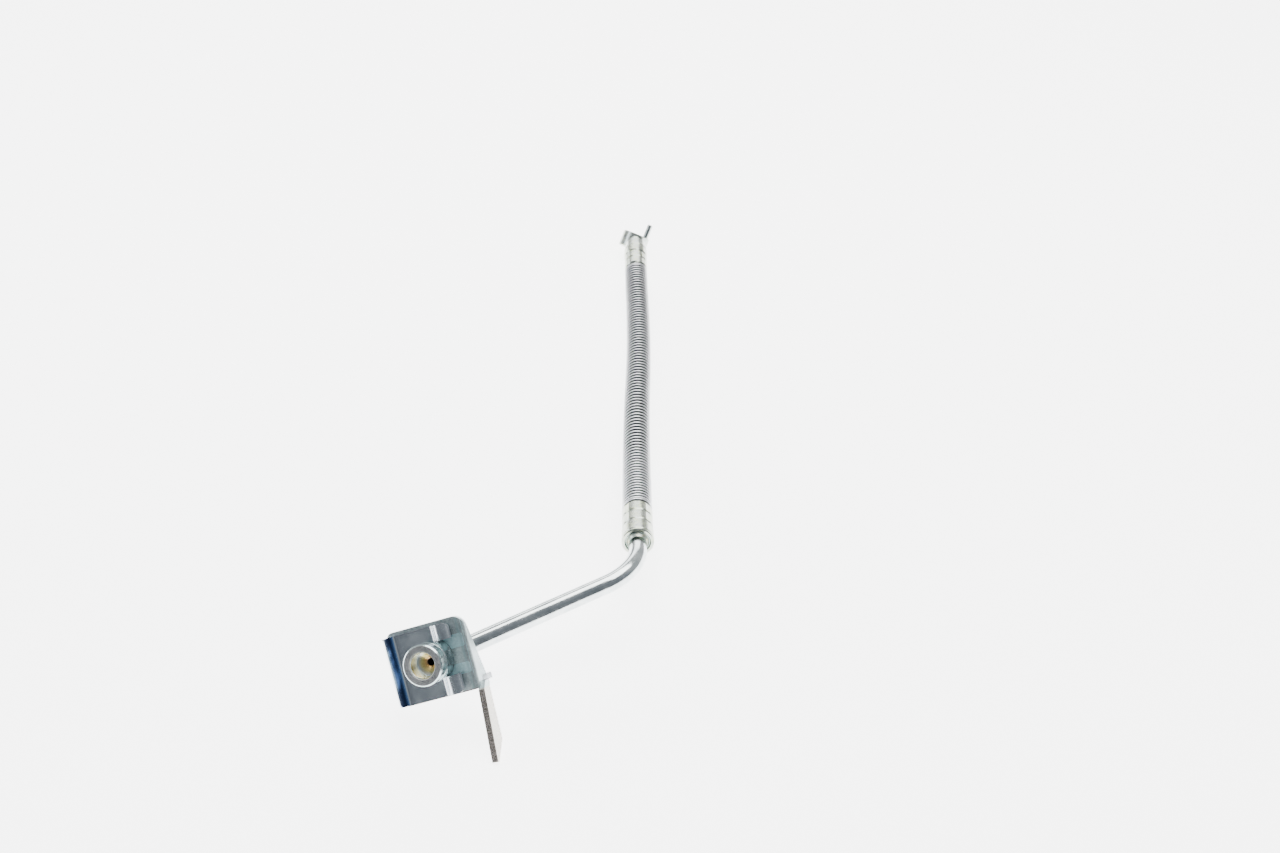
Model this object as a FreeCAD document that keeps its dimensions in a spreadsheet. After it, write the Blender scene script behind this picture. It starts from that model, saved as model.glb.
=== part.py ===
import FreeCAD, Part
import math
import os
from FreeCAD import Vector, Placement, Rotation

# Flexible hydraulic brake hose assembly, millimetres, +Z up, lying on its floor at Z = 0.
# The hose runs away along +Y.  A bent steel tube joins it to a female port fitting, which a
# U clip holds in a stamped bracket.  The far end is an angled banjo with a locating pin.

os.makedirs("parts", exist_ok=True)
doc = FreeCAD.newDocument("BrakeHose")
sheet = doc.addObject("Spreadsheet::Sheet", "Dims")


class Q:
    """A size: its number, and the expression that gives it from the sheet."""

    def __init__(self, v, e):
        self.v = float(v)
        self.e = e

    def __add__(self, o):
        o = q(o)
        return Q(self.v + o.v, "(%s + %s)" % (self.e, o.e))

    def __radd__(self, o):
        return q(o) + self

    def __sub__(self, o):
        o = q(o)
        return Q(self.v - o.v, "(%s - %s)" % (self.e, o.e))

    def __rsub__(self, o):
        return q(o) - self

    def __mul__(self, o):
        o = q(o)
        return Q(self.v * o.v, "(%s * %s)" % (self.e, o.e))

    def __rmul__(self, o):
        return q(o) * self

    def __truediv__(self, o):
        o = q(o)
        return Q(self.v / o.v, "(%s / %s)" % (self.e, o.e))

    def __neg__(self):
        return Q(-self.v, "(0 - %s)" % self.e)


def q(x):
    return x if isinstance(x, Q) else Q(x, "%.5f" % x if x >= 0 else "(0 - %.5f)" % -x)


rows = [0]


def dim(alias, value):
    rows[0] += 1
    sheet.set("A%d" % rows[0], alias)
    sheet.set("B%d" % rows[0], "%g" % value)
    sheet.setAlias("B%d" % rows[0], alias)
    return Q(value, "Dims." + alias)


# ---------------------------------------------------------------- driving dimensions
# port fitting
collar_r = dim("collar_radius", 8.1)
collar_len = dim("collar_length", 6.2)
port_r = dim("port_wall_radius", 4.95)
port_mouth_r = dim("port_mouth_radius", 5.3)
port_depth = dim("port_depth", 7.2)
passage_r = dim("passage_radius", 1.6)
neck_half = dim("neck_half_width", 7.0)
neck_corner = dim("neck_corner_radius", 3.0)
clip_gap = dim("clip_gap", 5.8)
plate_t = dim("plate_thickness", 2.5)
shoulder_r = dim("shoulder_radius", 10.0)
fitting_len = dim("fitting_length", 20.5)
socket_depth = dim("socket_depth", 4.5)
# clip
clip_t = dim("clip_thickness", 1.4)
clip_left = dim("clip_left", 17.9)
clip_right = dim("clip_right", 10.0)
clip_up = dim("clip_upper", 13.4)
clip_down = dim("clip_lower", 14.5)
clip_slot = dim("clip_slot_half", 7.15)
lip_roll = dim("clip_lip_roll_radius", 7.4)
lip_turn = dim("clip_lip_turn_degrees", 58.0)
# bracket
plate_left = dim("plate_left", 17.4)
plate_right = dim("plate_right", 15.4)
plate_up = dim("plate_upper", 14.8)
plate_down = dim("plate_lower", 14.9)
plate_hole = dim("plate_hole_radius", 8.25)
flange_depth = dim("flange_depth", 11.8)
tab_lean = dim("tab_lean_degrees", 4.5)
tab_jog = dim("tab_jog", 1.6)
tab_top = dim("tab_top", 11.4)
tab_end = dim("tab_end", 43.19)
# tube
tube_r = dim("tube_radius", 4.0)
tube_bore = dim("tube_bore_radius", 2.4)
tube_bend_a = dim("tube_bend_hidden", 14.0)
tube_bend_b = dim("tube_bend_front", 22.0)
# hose, from the bore outwards
hose_bore = dim("hose_bore_radius", 1.6)
liner_r = dim("liner_radius", 2.7)
braid_in_r = dim("inner_braid_radius", 3.15)
cushion_r = dim("cushion_radius", 3.65)
braid_out_r = dim("outer_braid_radius", 4.1)
hose_r = dim("hose_radius", 5.25)
guard_r = dim("guard_radius", 7.0)
guard_in_r = dim("guard_inner_radius", 5.6)
# ferrules
ferrule_r = dim("ferrule_radius", 7.05)
ferrule_bore = dim("ferrule_bore_radius", 5.27)
ferrule_mouth = dim("ferrule_mouth_radius", 5.9)
near_len = dim("near_ferrule_length", 24.0)
far_len = dim("far_ferrule_length", 24.0)
hose_start = dim("hose_inset", 9.0)
flat_apothem = dim("crimp_flat_apothem", 6.93)
# banjo
banjo_r = dim("banjo_radius", 8.8)
banjo_h = dim("banjo_height", 10.0)
eye_r = dim("eye_radius", 5.1)
neck_r = dim("banjo_neck_radius", 6.6)
ear_low = dim("ear_lower_face", -0.15)
ear_t = dim("ear_thickness", 5.2)
ear_r = dim("ear_end_radius", 2.9)
pin_r = dim("pin_radius", 1.75)
pin_shank_r = dim("pin_shank_radius", 1.4)
pin_len = dim("pin_length", 9.75)
pin_relief = dim("pin_relief", 0.15)
core_r = dim("banjo_core_radius", 4.9)
neck_len = dim("banjo_neck_length", 7.0)
pin_off = dim("pin_offset", 10.8)
doc.recompute()


def val(alias):
    return float(sheet.get(alias))


# ---------------------------------------------------------------- places
SHIFT = Vector(46.843, -478.869, 0.0)      # puts the origin under the middle of the object


def P(x, y, z):
    return Vector(x, y, z) + SHIFT


def unit(v):
    return Vector(v).normalize()


def frame_at(base, zdir, xhint):
    z = unit(zdir)
    x = unit(xhint - z * xhint.dot(z))
    y = z.cross(x)
    return Placement(base, Rotation(x, y, z, "ZXY"))


# the port fitting's front face centre; local Z points out of the port
F0 = P(-83.6, 291.0, 35.3)
A_DIR = unit(Vector(0.226, 0.756, -0.615))
FIT = frame_at(F0, A_DIR * -1.0, Vector(0.935, 0.008, 0.354))

# hose route: the corners of its runs, from the near ferrule's mouth to the far one's
NEAR = P(-0.95, 368.7, 26.1)
A1 = P(-1.75, 430.0, 16.6)
A2 = P(-1.9, 487.0, 8.1)
A3 = P(-0.6, 543.0, 6.74)
A4 = P(-1.3, 588.8, 7.95)
A5 = P(-2.3, 616.8, 11.4)
FAR = P(-2.9, 653.5, 11.7)
H0 = unit(A1 - NEAR)
HF = unit(FAR - A5)
NEAR_PL = frame_at(NEAR, H0, Vector(1, 0, 0))
FAR_PL = frame_at(FAR, HF * -1.0, Vector(1, 0, 0))

# banjo: its eye's axis and centre
N_DIR = unit(Vector(0.38, 0.50, 0.78))
B0 = P(-4.0, 670.8, 9.162)
BANJO_PL = frame_at(B0, N_DIR, HF * -1.0)


# ---------------------------------------------------------------- PartDesign helpers
def make_body(name, placement):
    b = doc.addObject("PartDesign::Body", name)
    b.Label = name
    b.Placement = placement
    return b


def plane(body, role):
    for f in body.Origin.OriginFeatures:
        if f.Role == role:
            return f
    raise RuntimeError(role)


def new_sketch(body, name, role, offset=None):
    sk = body.newObject("Sketcher::SketchObject", name)
    sk.AttachmentSupport = [(plane(body, role), "")]
    sk.MapMode = "FlatFace"
    if offset is not None:
        sk.AttachmentOffset = Placement(Vector(0, 0, offset.v), Rotation())
        sk.setExpression("AttachmentOffset.Base.z", offset.e)
    return sk


def pin_point(sk, geo, pos, x, y):
    import Sketcher
    for kind, value, axis in (("DistanceX", x, -2), ("DistanceY", y, -1)):
        value = q(value)
        if abs(value.v) < 1e-9:
            sk.addConstraint(Sketcher.Constraint("PointOnObject", geo, pos, axis))
        else:
            n = sk.addConstraint(Sketcher.Constraint(kind, -1, 1, geo, pos, value.v))
            sk.setExpression("Constraints[%d]" % n, value.e)


def outline(sk, pts):
    """Closed line: points (x, y) or (x, y, r), where r bends the way to the next point,
    + anticlockwise, - clockwise."""
    import Sketcher
    n = len(pts)
    ends = []
    for i in range(n):
        a, b = pts[i], pts[(i + 1) % n]
        pa = Vector(q(a[0]).v, q(a[1]).v, 0)
        pb = Vector(q(b[0]).v, q(b[1]).v, 0)
        if len(a) == 2:
            g = sk.addGeometry(Part.LineSegment(pa, pb), False)
            ends.append((g, 1, 2))
        else:
            r = q(a[2])
            mid = (pa + pb) * 0.5
            half = (pb - pa).Length / 2
            left = Vector(-(pb - pa).y, (pb - pa).x, 0).normalize()
            rise = math.sqrt(max(r.v * r.v - half * half, 0))
            c = mid + left * (rise if r.v > 0 else -rise)
            s, e = (pa, pb) if r.v > 0 else (pb, pa)
            a0 = math.atan2(s.y - c.y, s.x - c.x)
            a1 = math.atan2(e.y - c.y, e.x - c.x)
            if a1 < a0:
                a1 += 2 * math.pi
            g = sk.addGeometry(Part.ArcOfCircle(
                Part.Circle(c, Vector(0, 0, 1), abs(r.v)), a0, a1), False)
            ends.append((g, 1, 2) if r.v > 0 else (g, 2, 1))
    for i in range(n):
        g, s, e = ends[i]
        g2, s2, e2 = ends[(i + 1) % n]
        sk.addConstraint(Sketcher.Constraint("Coincident", g, e, g2, s2))
    for i in range(n):
        g, s, e = ends[i]
        pin_point(sk, g, s, pts[i][0], pts[i][1])
    for i in range(n):
        if len(pts[i]) == 3:
            r = q(pts[i][2])
            m = sk.addConstraint(Sketcher.Constraint("Radius", ends[i][0], abs(r.v)))
            sk.setExpression("Constraints[%d]" % m, r.e if r.v > 0 else (-r).e)
    return sk


def circle(sk, x, y, r):
    import Sketcher
    g = sk.addGeometry(Part.Circle(Vector(q(x).v, q(y).v, 0), Vector(0, 0, 1), r.v), False)
    pin_point(sk, g, 3, x, y)
    m = sk.addConstraint(Sketcher.Constraint("Radius", g, r.v))
    sk.setExpression("Constraints[%d]" % m, r.e)
    return sk


def rounded(x0, x1, y0, y1, r):
    """Corner points of a rectangle with round corners, anticlockwise."""
    return [(x0 + r, y0), (x1 - r, y0, r), (x1, y0 + r), (x1, y1 - r, r),
            (x1 - r, y1), (x0 + r, y1, r), (x0, y1 - r), (x0, y0 + r, r)]


def revolve(body, name, pts):
    """Turned shape: (radius, z) points about the body's Z axis."""
    sk = outline(new_sketch(body, name + "Sketch", "XZ_Plane"), pts)
    f = body.newObject("PartDesign::Revolution", name)
    f.Profile = sk
    f.ReferenceAxis = (sk, ["V_Axis"])
    f.Angle = 360.0
    sk.Visibility = False
    return f


def pad(body, name, sk, length, reverse=False):
    f = body.newObject("PartDesign::Pad", name)
    f.Profile = sk
    f.Length = q(length).v
    f.setExpression("Length", q(length).e)
    f.Reversed = reverse
    return f


def pocket(body, name, sk, length=None, reverse=False):
    f = body.newObject("PartDesign::Pocket", name)
    f.Profile = sk
    if length is None:
        f.Type = 1
    else:
        f.Length = q(length).v
        f.setExpression("Length", q(length).e)
    f.Reversed = reverse
    return f


def edges(shape, test):
    out = []
    for i, e in enumerate(shape.Edges):
        if all(test(v.Point) for v in e.Vertexes) and len(e.Vertexes) == 2:
            out.append("Edge%d" % (i + 1))
    return out


def fillet(body, name, base, names, r, kind="PartDesign::Fillet"):
    f = body.newObject(kind, name)
    f.Base = (base, names)
    if kind.endswith("Fillet"):
        f.Radius = q(r).v
        f.setExpression("Radius", q(r).e)
    else:
        f.Size = q(r).v
        f.setExpression("Size", q(r).e)
    return f


parts = {}

# ---------------------------------------------------------------- end fitting
# collar, square neck in the clip, round seat in the plate's hole, shoulder, tube socket
z_neck = -collar_len
z_plate = -(collar_len + clip_gap)
z_back = z_plate - plate_t
z_end = -fitting_len
b = make_body("end_fitting", FIT)
revolve(b, "Turned", [
    (port_mouth_r, 0),
    (collar_r - 0.5, 0),
    (collar_r, -0.5),
    (collar_r, -4.5),
    (collar_r - 0.45, -4.8),
    (collar_r - 0.45, -5.3),
    (collar_r, -5.6),
    (collar_r, z_neck + 0.3),
    (collar_r - 0.3, z_neck),
    (neck_half - 0.4, z_neck),
    (neck_half - 0.4, z_plate),
    (collar_r, z_plate),
    (collar_r, z_back),
    (shoulder_r - 0.5, z_back),
    (shoulder_r, z_back - 0.5),
    (shoulder_r, z_back - 3.0),
    (shoulder_r - 2.6, z_back - 4.4),
    (tube_r + 2.2, z_end),
    (tube_r + 0.03, z_end),
    (tube_r + 0.03, z_end + socket_depth),
    (passage_r, z_end + socket_depth),
    (passage_r, -port_depth - 1.7),
    (port_r, -port_depth),
    (port_r + 0.3, -port_depth),
    (port_r + 0.3, -port_depth + 0.8),
    (port_r, -port_depth + 1.15),
    (port_r, -0.8)])
sk = new_sketch(b, "NeckSketch", "XY_Plane", z_plate)
outline(sk, rounded(-neck_half, neck_half, -neck_half, neck_half, neck_corner))
import Sketcher
g = sk.addGeometry(Part.Circle(Vector(0, 0, 0), Vector(0, 0, 1), 6.0), False)
sk.addConstraint(Sketcher.Constraint("Coincident", g, 3, -1, 1))
m = sk.addConstraint(Sketcher.Constraint("Radius", g, 6.0))
pad(b, "Neck", sk, clip_gap)
parts["end_fitting"] = b

# braze where the tube enters the fitting
b = make_body("fitting_braze_ring", FIT)
revolve(b, "Fillet", [
    (tube_r + 0.02, z_end - 0.01),
    (tube_r + 0.02, z_end - 1.5),
    (tube_r + 0.5, z_end - 1.0),
    (tube_r + 1.1, z_end - 0.5),
    (tube_r + 1.8, z_end - 0.01)])
parts["fitting_braze_ring"] = b

# ---------------------------------------------------------------- retaining clip
# side view: flat plate, arched prong tips, lip bent up at the left
lo = z_plate + 0.1
hi = lo + clip_t
b = make_body("retaining_clip", FIT)
roll_s = Q(math.sin(math.radians(lip_turn.v)), "sin(%s * 1 deg)" % lip_turn.e)
roll_c = Q(math.cos(math.radians(lip_turn.v)), "cos(%s * 1 deg)" % lip_turn.e)
roll_x = lip_roll * roll_s - clip_left
sk = new_sketch(b, "SideSketch", "XZ_Plane", clip_down)
outline(sk, [
    (roll_x, lo),
    (2.0, lo, 3.0),
    (4.0, lo + 0.8),
    (4.7, lo + 1.5, -2.6),
    (8.3, lo + 1.5),
    (8.8, lo + 0.8, 2.0),
    (clip_right, lo + 0.15),
    (clip_right, lo + 1.45),
    (9.6, lo + 1.9),
    (9.2, lo + 2.5, 3.4),
    (3.8, lo + 2.5),
    (3.2, lo + 1.9, -2.0),
    (1.8, hi),
    (roll_x, hi, clip_t - lip_roll),
    (roll_x - (lip_roll - clip_t) * roll_s, lo + lip_roll - (lip_roll - clip_t) * roll_c),
    (-clip_left, lo + lip_roll - lip_roll * roll_c, lip_roll)])
clip_pad = pad(b, "Side", sk, clip_down + clip_up, reverse=True)
sk = new_sketch(b, "SlotSketch", "XY_Plane")
outline(sk, rounded(-neck_half - 0.2, q(30.0), -clip_slot, clip_slot, q(3.0)))
slot_cut = pocket(b, "Slot", sk)
tip_r = q(2.2)
sk = new_sketch(b, "TipSketch", "XY_Plane")
outline(sk, [
    (clip_right - tip_r, clip_up),
    (clip_right - tip_r, clip_up + 1.0),
    (clip_right + 1.0, clip_up + 1.0),
    (clip_right + 1.0, clip_up - tip_r),
    (clip_right, clip_up - tip_r, tip_r)])
outline(sk, [
    (clip_right, -clip_down + tip_r),
    (clip_right + 1.0, -clip_down + tip_r),
    (clip_right + 1.0, -clip_down - 1.0),
    (clip_right - tip_r, -clip_down - 1.0),
    (clip_right - tip_r, -clip_down, tip_r)])
pocket(b, "TipCorners", sk)
lip_r = q(1.6)
lip_top = lo + lip_roll - (lip_roll - clip_t) * roll_c
sk = new_sketch(b, "LipSketch", "YZ_Plane", -clip_left - 1.0)
outline(sk, [
    (clip_up - lip_r, lip_top, -lip_r),
    (clip_up, lip_top - lip_r),
    (clip_up + 1.0, lip_top - lip_r),
    (clip_up + 1.0, lip_top + 1.0),
    (clip_up - lip_r, lip_top + 1.0)])
outline(sk, [
    (-clip_down, lip_top - lip_r, -lip_r),
    (-clip_down + lip_r, lip_top),
    (-clip_down + lip_r, lip_top + 1.0),
    (-clip_down - 1.0, lip_top + 1.0),
    (-clip_down - 1.0, lip_top - lip_r)])
pocket(b, "LipCorners", sk, 3.9, reverse=True)
parts["retaining_clip"] = b

# ---------------------------------------------------------------- bracket
# stamped plate, flange bent back at its right edge, tab that runs down to the floor
b = make_body("bracket", FIT)
sk = new_sketch(b, "SectionSketch", "XZ_Plane", plate_down)
outline(sk, [
    (-plate_left, z_back),
    (plate_right - plate_t, z_back),
    (plate_right - plate_t, z_plate - flange_depth),
    (plate_right, z_plate - flange_depth),
    (plate_right, z_plate - 2.4, 2.4),
    (plate_right - 2.4, z_plate),
    (-plate_left, z_plate)])
pad(b, "Section", sk, plate_up + plate_down, reverse=True)
# corners of the plate
doc.recompute()
tip = b.Tip
names = edges(tip.Shape, lambda p: p.x < -plate_left.v + 0.05 and p.y > plate_up.v - 0.05)
names += edges(tip.Shape, lambda p: p.x < -plate_left.v + 0.05 and p.y < -plate_down.v + 0.05)
fillet(b, "LeftCorners", tip, names, 2.5)
corner_r = q(4.5)
sk = new_sketch(b, "CornerSketch", "XY_Plane", z_plate + 1.0)
outline(sk, [
    (plate_right - corner_r, plate_up),
    (plate_right - corner_r, plate_up + 1.0),
    (plate_right + 1.0, plate_up + 1.0),
    (plate_right + 1.0, plate_up - corner_r),
    (plate_right, plate_up - corner_r, corner_r)])
pocket(b, "RightCorner", sk)
# the flange is cut slanting: shallow at the top, deep at the bottom
sk = new_sketch(b, "SlantSketch", "YZ_Plane", plate_right - plate_t - 0.6)
outline(sk, [
    (plate_up + 1.0, z_back - 0.12),
    (q(13.0), z_back - 0.12),
    (-plate_down - 1.0, z_plate - flange_depth),
    (-plate_down - 1.0, z_plate - flange_depth - 2.0),
    (plate_up + 1.0, z_plate - flange_depth - 2.0)])
pocket(b, "Slant", sk, plate_t + 1.6, reverse=True)
# tab, leaning in under the plate
sk = new_sketch(b, "TabSketch", "YZ_Plane")
lean_off = (plate_right - plate_t + tab_jog).v * math.cos(math.radians(tab_lean.v)) \
    + 15.0 * math.sin(math.radians(tab_lean.v))
sk.AttachmentOffset = Placement(
    Vector(-lean_off * math.sin(math.radians(tab_lean.v)), 0,
           lean_off * math.cos(math.radians(tab_lean.v))),
    Rotation(Vector(0, 1, 0), -tab_lean.v))
outline(sk, [
    (-tab_top, z_plate - 2.9),
    (-tab_top - 3.0, z_plate - 0.5),
    (-tab_end + 0.4, z_plate - 0.5),
    (-tab_end, z_plate - 1.6),
    (-tab_end + 7.4, z_plate - 9.2),
    (-tab_top - 3.4, z_plate - 6.6),
    (-tab_top, z_plate - 7.0)])
pad(b, "Tab", sk, plate_t)
# hooked lug beside the flange
sk = new_sketch(b, "LugSketch", "XZ_Plane", plate_down - 4.0)
outline(sk, [
    (plate_right - plate_t, z_plate - 5.8),
    (plate_right - 0.2, z_plate - 4.8, -14.0),
    (plate_right + 1.2, z_plate - 11.8, -0.96),
    (plate_right - 0.5, z_plate - 12.6, 12.0)])
pad(b, "Lug", sk, 2.3)
# hole, and the smooth channel between the prongs, with its centre rib left standing
sk = new_sketch(b, "HoleSketch", "XY_Plane", z_plate + 1.0)
circle(sk, 0, 0, plate_hole)
pocket(b, "Hole", sk)
sk = new_sketch(b, "ChannelSketch", "XY_Plane", z_plate)
outline(sk, rounded(q(4.0), plate_right - 1.4, q(2.6), q(7.9), q(0.8)))
outline(sk, rounded(q(4.0), plate_right - 1.4, q(-7.9), q(-3.6), q(0.8)))
pocket(b, "Channel", sk, 0.45)
parts["bracket"] = b

# ---------------------------------------------------------------- turned pieces at the hose ends
hose_z = hose_start


def ferrule(name, placement, length):
    body = make_body(name, placement)
    land = (length - 1.8) / 3.0
    revolve(body, "Turned", [
        (ferrule_mouth, 0),
        (ferrule_r - 0.25, 0),
        (ferrule_r + 0.15, 0.4),
        (ferrule_r + 0.15, 1.2),
        (ferrule_r - 0.1, 1.6),
        (ferrule_r + 0.12, 2.0),
        (ferrule_r + 0.12, 1.8 + land - 1.0),
        (ferrule_r - 0.38, 1.8 + land - 0.35),
        (ferrule_r - 0.38, 1.8 + land + 0.35),
        (ferrule_r, 1.8 + land + 1.0),
        (ferrule_r, 1.8 + land * 2.0 - 1.0),
        (ferrule_r - 0.38, 1.8 + land * 2.0 - 0.35),
        (ferrule_r - 0.38, 1.8 + land * 2.0 + 0.35),
        (ferrule_r, 1.8 + land * 2.0 + 1.0),
        (ferrule_r, length - 0.6),
        (ferrule_r - 0.5, length),
        (ferrule_bore, length),
        (ferrule_bore, hose_z),
        (ferrule_mouth, hose_z - 0.1)])
    # eight crimp flats on the two lands beside the guard
    sk = new_sketch(body, "FlatSketch", "XY_Plane", 2.3 + land)
    pts = []
    for k in range(8):
        ang = math.radians(22.5 + 45.0 * k)
        pts.append((flat_apothem * (math.cos(ang) / math.cos(math.radians(22.5))),
                    flat_apothem * (math.sin(ang) / math.cos(math.radians(22.5)))))
    outline(sk, pts)
    circle(sk, 0, 0, ferrule_r + 2.0)
    pocket(body, "Flats", sk, land * 2.0 - 1.2, reverse=True)
    return body


def stem(body, root, tip_z, collar_pts):
    """Barbed spigot inside the hose, with its collar and its socket or spigot."""
    r = hose_bore - 0.03
    pts = list(collar_pts)
    pts.append((r - 0.12, root))
    zz = root.v + 1.5
    while zz + 3.0 < tip_z.v:
        pts += [(r - 0.12, q(zz)), (r, q(zz + 0.1)), (r - 0.12, q(zz + 2.2))]
        zz += 3.2
    pts += [(r - 0.12, tip_z - 0.5), (r - 0.4, tip_z), (hose_bore - 0.6, tip_z)]
    return pts


parts["near_ferrule"] = ferrule("near_ferrule", NEAR_PL, near_len)
parts["far_ferrule"] = ferrule("far_ferrule", FAR_PL, far_len)

# near nipple: the steel tube's end is brazed into its head
b = make_body("near_nipple", NEAR_PL)
revolve(b, "Turned", stem(b, hose_z - 0.1, near_len - 4.0, [
    (hose_bore - 0.6, 6.6),
    (tube_r + 0.03, 6.6),
    (tube_r + 0.03, 0.5),
    (q(5.2), 0.5),
    (q(5.2), 1.1),
    (ferrule_mouth - 0.03, 1.4),
    (ferrule_mouth - 0.03, hose_z - 0.2)]))
parts["near_nipple"] = b

b = make_body("nipple_braze_ring", NEAR_PL)
revolve(b, "Fillet", [
    (tube_r + 0.02, 0.48),
    (tube_r + 0.02, -1.0),
    (tube_r + 0.35, -0.5),
    (tube_r + 0.75, 0.1),
    (tube_r + 1.1, 0.48)])
parts["nipple_braze_ring"] = b

# far nipple: its spigot is brazed into the banjo's neck
b = make_body("far_nipple", FAR_PL)
revolve(b, "Turned", stem(b, hose_z - 0.1, far_len - 4.0, [
    (hose_bore - 0.6, -2.0),
    (q(3.2), -2.0),
    (q(3.2), 2.6),
    (ferrule_mouth - 0.03, 2.6),
    (ferrule_mouth - 0.03, hose_z - 0.2)]))
parts["far_nipple"] = b

b = make_body("banjo_braze_ring", FAR_PL)
revolve(b, "Fillet", [
    (q(3.22), 2.58),
    (q(3.22), 0.0),
    (q(4.9), 0.0),
    (q(4.4), 1.2),
    (q(4.9), 2.58)])
parts["banjo_braze_ring"] = b

# ---------------------------------------------------------------- banjo
# flat eye, short neck towards the hose, ear that carries the locating pin
BF = FAR_PL.inverse().multiply(BANJO_PL)


def primitive(kind, name, sizes, placement):
    o = doc.addObject(kind, name)
    for prop in sizes:
        setattr(o, prop, q(sizes[prop]).v)
        o.setExpression(prop, q(sizes[prop]).e)
    o.Placement = placement
    return o


def local_of(world_vec):
    return BANJO_PL.Rotation.inverted().multVec(world_vec)


def local_pt(world_pt):
    return BANJO_PL.inverse().multVec(world_pt)


far_l = local_pt(FAR)
axis_l = local_of(HF)                               # along the hose, towards the eye
neck_start = far_l + axis_l * 0.05
hit = far_l + axis_l * (-(far_l.dot(axis_l)))       # nearest point of the axis to the centre
neck_length = (hit - neck_start).Length + 1.0


def along(p, d):
    return Placement(p, Rotation(Vector(0, 0, 1), d))


disc = primitive("Part::Cylinder", "EyeBlank", {"Radius": banjo_r, "Height": banjo_h},
                 Placement(Vector(0, 0, -banjo_h.v / 2), Rotation()))
disc.setExpression("Placement.Base.z", (-(banjo_h / 2)).e)
doc.recompute()
rim = doc.addObject("Part::Chamfer", "EyeRim")
rim.Base = disc
rim.Edges = [(i + 1, 0.4, 0.4) for i, e in enumerate(disc.Shape.Edges)
             if e.Curve.__class__.__name__ == "Circle"]
neck = primitive("Part::Cylinder", "NeckBlank", {"Radius": neck_r, "Height": neck_len},
                 along(neck_start, axis_l))
core = primitive("Part::Cylinder", "CoreBlank", {"Radius": core_r, "Height": q(neck_length - 0.5)},
                 along(neck_start + axis_l * 0.5, axis_l))
doc.recompute()
shoulder = doc.addObject("Part::Chamfer", "NeckShoulder")
shoulder.Base = neck
shoulder.Edges = [(i + 1, 0.5, 0.5) for i, e in enumerate(neck.Shape.Edges)
                  if e.Curve.__class__.__name__ == "Circle"
                  and (e.Curve.Center - neck_start).Length > 3.0]
EAR_DIR = local_of(Vector(0.485, 0.603, -0.625))
EAR_ANG = math.degrees(math.atan2(EAR_DIR.y, EAR_DIR.x))
ear_rot = Rotation(Vector(0, 0, 1), EAR_ANG)
ear_box = primitive("Part::Box", "EarArm", {"Length": pin_off, "Width": ear_r * 2.0, "Height": ear_t},
                    Placement(ear_rot.multVec(Vector(0, -ear_r.v, ear_low.v)), ear_rot))
ear_end = primitive("Part::Cylinder", "EarEnd", {"Radius": ear_r, "Height": ear_t},
                    Placement(ear_rot.multVec(Vector(pin_off.v, 0, ear_low.v)), Rotation()))
solid = doc.addObject("Part::MultiFuse", "EyeAndEar")
solid.Shapes = [rim, ear_box, ear_end]
clear = primitive("Part::Cylinder", "FerruleRoom",
                  {"Radius": ferrule_r + 0.15, "Height": q(14.0)},
                  along(far_l + axis_l * -13.85, axis_l))
roomy = doc.addObject("Part::Cut", "EyeAndEarCut")
roomy.Base = solid
roomy.Tool = clear
cored = doc.addObject("Part::Fuse", "EyeAndCore")
cored.Base = roomy
cored.Tool = core
blank = doc.addObject("Part::Fuse", "BanjoBlank")
blank.Base = cored
blank.Tool = shoulder
eye = primitive("Part::Cylinder", "EyeHole", {"Radius": eye_r, "Height": banjo_h + 10.0},
                Placement(Vector(0, 0, -banjo_h.v / 2 - 5.0), Rotation()))
groove = primitive("Part::Cylinder", "OilGroove", {"Radius": eye_r + 1.2, "Height": q(4.0)},
                   Placement(Vector(0, 0, -2.0), Rotation()))
half_h = banjo_h.v / 2
sink_a = primitive("Part::Cone", "SinkTop", {"Radius1": eye_r, "Radius2": eye_r + 0.9,
                   "Height": q(0.9)}, Placement(Vector(0, 0, half_h - 0.5), Rotation()))
sink_b = primitive("Part::Cone", "SinkUnder", {"Radius1": eye_r + 0.9, "Radius2": eye_r,
                   "Height": q(0.9)}, Placement(Vector(0, 0, -half_h - 0.4), Rotation()))
bore = doc.addObject("Part::MultiFuse", "EyeBore")
bore.Shapes = [eye, groove, sink_a, sink_b]
feed = primitive("Part::Cylinder", "Feed", {"Radius": hose_bore - 0.1, "Height": q(neck_length)},
                 along(neck_start, axis_l))
sock = primitive("Part::Cylinder", "NippleSocket", {"Radius": q(3.23), "Height": q(2.1)},
                 along(neck_start + axis_l * -0.05, axis_l))
pinhole = primitive("Part::Cylinder", "PinHole", {"Radius": pin_shank_r + 0.01, "Height": q(8.0)},
                    Placement(ear_rot.multVec(Vector(pin_off.v, 0, -1.6)), Rotation()))
# the two washer seats are faced off, so the fat neck stands clear of them
seat_a = primitive("Part::Cylinder", "SeatTop", {"Radius": banjo_r + 0.2, "Height": q(9.0)},
                   Placement(Vector(0, 0, half_h), Rotation()))
seat_b = primitive("Part::Cylinder", "SeatUnder", {"Radius": banjo_r + 0.2, "Height": q(9.0)},
                   Placement(Vector(0, 0, -half_h - 9.0), Rotation()))
banjo_cut = blank
for label, tool in (("SeatTopCut", seat_a), ("SeatUnderCut", seat_b), ("BoreCut", bore),
                    ("FeedCut", feed), ("SocketCut", sock), ("PinCut", pinhole)):
    cut = doc.addObject("Part::Cut", label)
    cut.Base = banjo_cut
    cut.Tool = tool
    banjo_cut = cut
banjo = banjo_cut
banjo.Label = "banjo_body"
banjo.Placement = BANJO_PL
parts["banjo_body"] = banjo

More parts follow.
